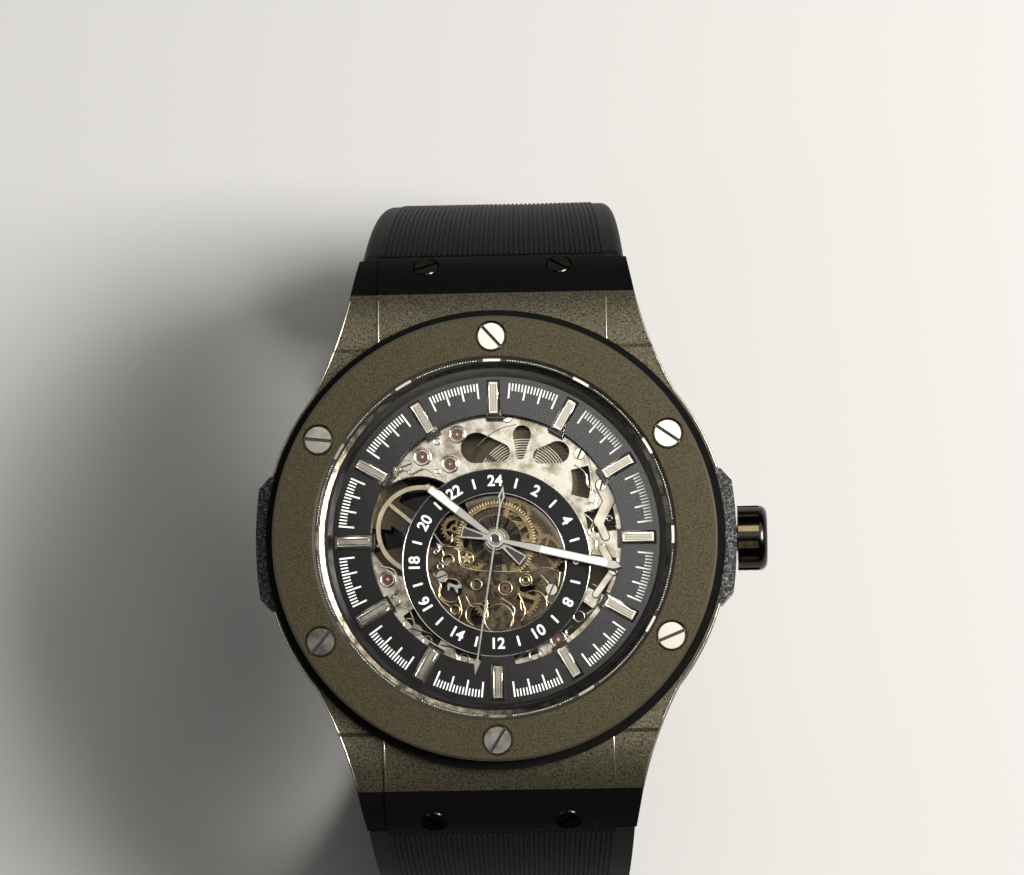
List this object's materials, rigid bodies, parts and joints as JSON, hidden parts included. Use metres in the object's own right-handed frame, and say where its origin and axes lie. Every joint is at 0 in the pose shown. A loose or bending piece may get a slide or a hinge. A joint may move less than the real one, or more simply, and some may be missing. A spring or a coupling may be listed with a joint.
{
  "type": "skeleton wristwatch",
  "caption": "Round skeleton automatic wristwatch with a screwed bezel, an offset 24 h ring, black-and-olive case and a ribbed rubber strap closed by a pin buckle.",
  "frame": {"origin": "middle of the case back's outer face, on the hands' axis", "axes": "+Z out through the dial and crystal, +Y towards 12 o'clock and +X towards the crown at 3 o'clock"},
  "size_m": [0.0477, 0.0701, 0.0546],
  "materials": {
    "olive_case": "satin olive bronze, finely blasted",
    "black_resin": "black pebbled resin",
    "black_steel": "black coated steel",
    "polished_steel": "polished warm steel",
    "nickel": "warm nickel, striped",
    "gold": "gilt",
    "bronze_plate": "dark bronze, grained",
    "ruby": "polished ruby",
    "rubber": "black, ribbed",
    "crystal": "sapphire",
    "dial_black": "black lacquer",
    "white_lume": "polished with a white filling",
    "nylon": "black",
    "spring": "blued"
  },
  "bodies": {
    "case": {"balance_cock": "nickel", "barrel_bridge": "nickel", "bezel": "olive_case", "bezel_screws": "polished_steel", "bezel_seat_ring": "black_resin", "buckle_bar": "polished_steel", "caseback_gasket": "nylon", "caseback_glass": "crystal", "caseback_ring": "olive_case", "caseback_screws": "polished_steel", "crown_tube": "black_steel", "crystal": "crystal", "crystal_gasket": "nylon", "dial": "dial_black", "dial_flange": "polished_steel", "fixed_keeper": "rubber", "hour_markers": "polished_steel", "lower_case": "olive_case", "lower_lug_cover": "black_resin", "lower_strap": "rubber", "lug_screws": "polished_steel", "main_plate": "nickel", "middle_case": "black_resin", "motion_bridge": "bronze_plate", "movement_jewels": "ruby", "movement_ring": "black_steel", "movement_screws": "polished_steel", "rotor_post": "polished_steel", "train_bridge": "nickel", "upper_case": "olive_case", "upper_lug_cover": "black_resin", "upper_strap": "rubber"},
    "seconds": {"fourth_wheel": "gold", "seconds_hand": "polished_steel"},
    "third": {"third_wheel": "gold"},
    "minutes": {"centre_wheel": "gold", "minute_hand": "white_lume"},
    "minute_works": {"minute_wheel": "gold"},
    "hours": {"hour_wheel": "gold", "hour_hand": "white_lume"},
    "escape": {"escape_wheel": "polished_steel"},
    "barrel": {"barrel": "nickel", "mainspring": "spring"},
    "ratchet": {"ratchet_wheel": "nickel"},
    "crown_wheel": {"crown_wheel": "nickel"},
    "click": {"click": "polished_steel"},
    "winding": {"winding_pinion": "polished_steel"},
    "clutch": {"clutch_wheel": "polished_steel"},
    "crown": {"crown": "black_steel", "winding_stem": "polished_steel", "crown_seal": "nylon"},
    "setting_lever": {"setting_lever": "polished_steel"},
    "yoke": {"yoke": "polished_steel"},
    "pallets": {"pallet_fork": "polished_steel"},
    "balance": {"balance_wheel": "gold", "hairspring": "spring"},
    "rotor": {"rotor": "nickel"},
    "buckle": {"buckle_frame": "olive_case"},
    "tang": {"buckle_tang": "olive_case"},
    "sliding_keeper": {"sliding_keeper": "rubber"}
  },
  "joints": [
    {"name": "seconds_turn", "type": "hinge", "parent": "case", "child": "seconds", "pos_m": [0, 0, 0.0109], "axis": [0, 0, 1], "continuous": true},
    {"name": "third_turn", "type": "hinge", "parent": "case", "child": "third", "pos_m": [0.00369, -0.00258, 0.0053], "axis": [0, 0, 1], "continuous": true},
    {"name": "minutes_turn", "type": "hinge", "parent": "case", "child": "minutes", "pos_m": [0, 0, 0.0104], "axis": [0, 0, 1], "continuous": true},
    {"name": "minute_works_turn", "type": "hinge", "parent": "case", "child": "minute_works", "pos_m": [0.00079, -0.00448, 0.0082], "axis": [0, 0, 1], "continuous": true},
    {"name": "hours_turn", "type": "hinge", "parent": "case", "child": "hours", "pos_m": [0, 0, 0.0099], "axis": [0, 0, 1], "continuous": true},
    {"name": "escape_turn", "type": "hinge", "parent": "case", "child": "escape", "pos_m": [-0.00365, -0.00256, 0.0064], "axis": [0, 0, 1], "continuous": true},
    {"name": "barrel_turn", "type": "hinge", "parent": "case", "child": "barrel", "pos_m": [0.00258, 0.00539, 0.0065], "axis": [0, 0, 1], "continuous": true},
    {"name": "crown_turn", "type": "hinge", "parent": "case", "child": "winding", "pos_m": [0.0114, 0, 0.00498], "axis": [1, 0, 0], "continuous": true},
    {"name": "crown_wheel_turn", "type": "hinge", "parent": "case", "child": "crown_wheel", "pos_m": [0.0084, 0, 0.0035], "axis": [0, 0, 1], "continuous": true},
    {"name": "ratchet_turn", "type": "hinge", "parent": "case", "child": "ratchet", "pos_m": [0.00258, 0.00539, 0.0035], "axis": [0, 0, 1], "continuous": true},
    {"name": "crown_pull", "type": "slide", "parent": "winding", "child": "crown", "axis": [1, 0, 0], "range_m": [0, 0.0014]},
    {"name": "clutch_slide", "type": "slide", "parent": "winding", "child": "clutch", "axis": [1, 0, 0], "range_m": [-0.0007, 0]},
    {"name": "setting_lever_turn", "type": "hinge", "parent": "case", "child": "setting_lever", "pos_m": [0.0099, 0.005, 0.0082], "axis": [0, 0, 1], "range_deg": [0, 16]},
    {"name": "yoke_turn", "type": "hinge", "parent": "case", "child": "yoke", "pos_m": [0.0109, -0.0029, 0.0082], "axis": [0, 0, 1], "range_deg": [0, 18]},
    {"name": "click_lift", "type": "hinge", "parent": "case", "child": "click", "pos_m": [-0.00277, 0.00706, 0.00345], "axis": [0, 0, 1], "range_deg": [0, 8]},
    {"name": "pallet_swing", "type": "hinge", "parent": "case", "child": "pallets", "pos_m": [-0.00595, -0.00145, 0.0064], "axis": [0, 0, 1], "range_deg": [-5, 5]},
    {"name": "balance_swing", "type": "hinge", "parent": "case", "child": "balance", "pos_m": [-0.0072, 0.00135, 0.0054], "axis": [0, 0, 1], "range_deg": [-270, 270], "stiffness_Nm_per_rad": 0.00000036, "deforming": ["hairspring"]},
    {"name": "rotor_turn", "type": "hinge", "parent": "case", "child": "rotor", "pos_m": [0, 0, 0.002], "axis": [0, 0, 1], "continuous": true},
    {"name": "buckle_turn", "type": "hinge", "parent": "case", "child": "buckle", "pos_m": [0, 0, -0.03712], "axis": [1, 0, 0], "range_deg": [0, 20]},
    {"name": "tang_turn", "type": "hinge", "parent": "buckle", "child": "tang", "pos_m": [0, 0, -0.03712], "axis": [1, 0, 0], "range_deg": [0, 10]},
    {"name": "keeper_slide", "type": "hinge", "parent": "case", "child": "sliding_keeper", "pos_m": [0, 0.0104, -0.01462], "axis": [1, 0, 0], "range_deg": [-7, 7]}
  ],
  "couplings": [
    {"joint": "third_turn", "follows": "seconds_turn", "ratio": -0.13333},
    {"joint": "minutes_turn", "follows": "seconds_turn", "ratio": 0.016667},
    {"joint": "minute_works_turn", "follows": "seconds_turn", "ratio": -0.0055556},
    {"joint": "hours_turn", "follows": "seconds_turn", "ratio": 0.0013889},
    {"joint": "escape_turn", "follows": "seconds_turn", "ratio": -12},
    {"joint": "barrel_turn", "follows": "seconds_turn", "ratio": -0.0025},
    {"joint": "crown_wheel_turn", "follows": "crown_turn", "ratio": 0.43478},
    {"joint": "ratchet_turn", "follows": "crown_turn", "ratio": -0.26316},
    {"joint": "clutch_slide", "follows": "crown_pull", "ratio": -0.5},
    {"joint": "setting_lever_turn", "follows": "crown_pull", "rad_per_m": 199.47},
    {"joint": "yoke_turn", "follows": "crown_pull", "rad_per_m": 224.4}
  ]
}
